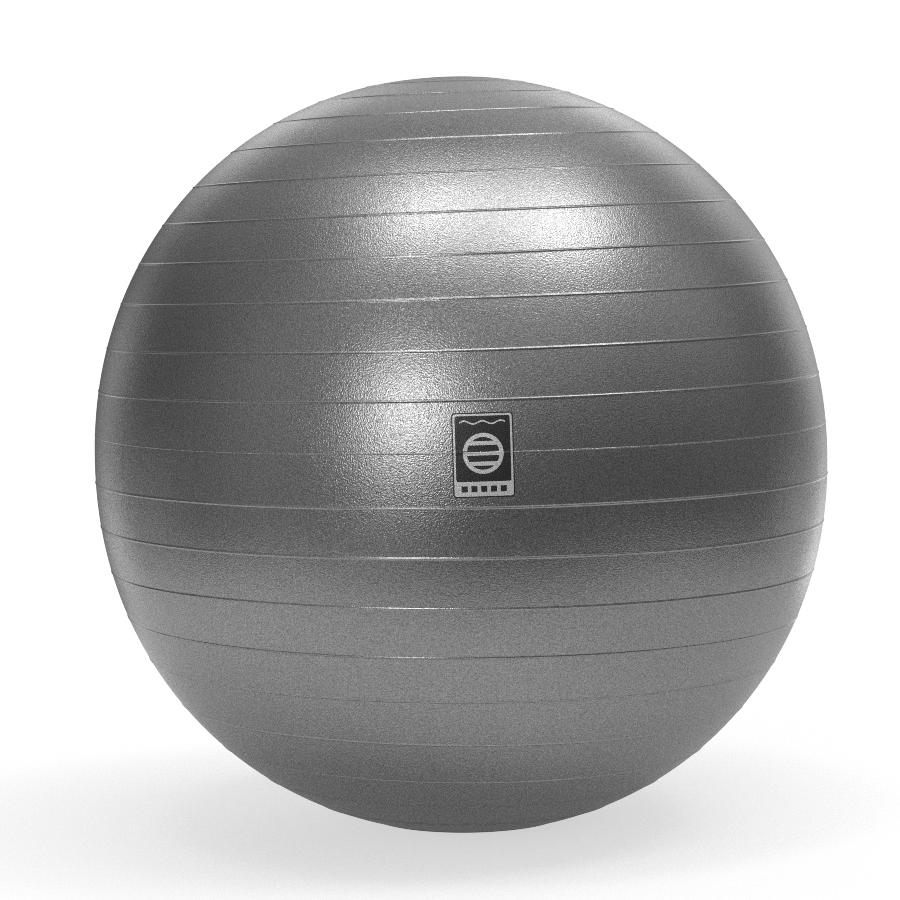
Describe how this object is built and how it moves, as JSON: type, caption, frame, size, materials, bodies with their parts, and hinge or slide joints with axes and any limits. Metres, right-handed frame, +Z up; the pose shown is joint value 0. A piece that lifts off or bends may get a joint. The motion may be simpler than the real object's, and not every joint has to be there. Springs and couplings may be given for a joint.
{
  "type": "exercise ball",
  "caption": "Inflatable ribbed exercise ball with a pull-out inflation plug and a printed badge, for sitting on, balance training and physiotherapy.",
  "frame": {"origin": "centre of the contact patch, on the floor", "axes": "+Z up, along the axis the ribs run round; the badge faces -Y; the inflation plug is on top, on +Z"},
  "size_m": [0.6505, 0.6506, 0.6687],
  "materials": {
    "ball_vinyl": "satin pearl-grey soft vinyl with a fine pebble grain",
    "plug_vinyl": "satin black harder vinyl",
    "badge_black": "satin black screen-printed ink",
    "badge_silver": "satin silver-grey screen-printed ink"
  },
  "bodies": {
    "ball": {"ball_shell": "ball_vinyl", "badge_ground": "badge_black", "badge_border": "badge_silver", "badge_emblem": "badge_silver"},
    "plug": {"inflation_plug": "plug_vinyl"}
  },
  "joints": [
    {"name": "plug_pull", "type": "slide", "parent": "ball", "child": "plug", "axis": [0, 0, 1], "range_m": [0, 0.06]}
  ]
}
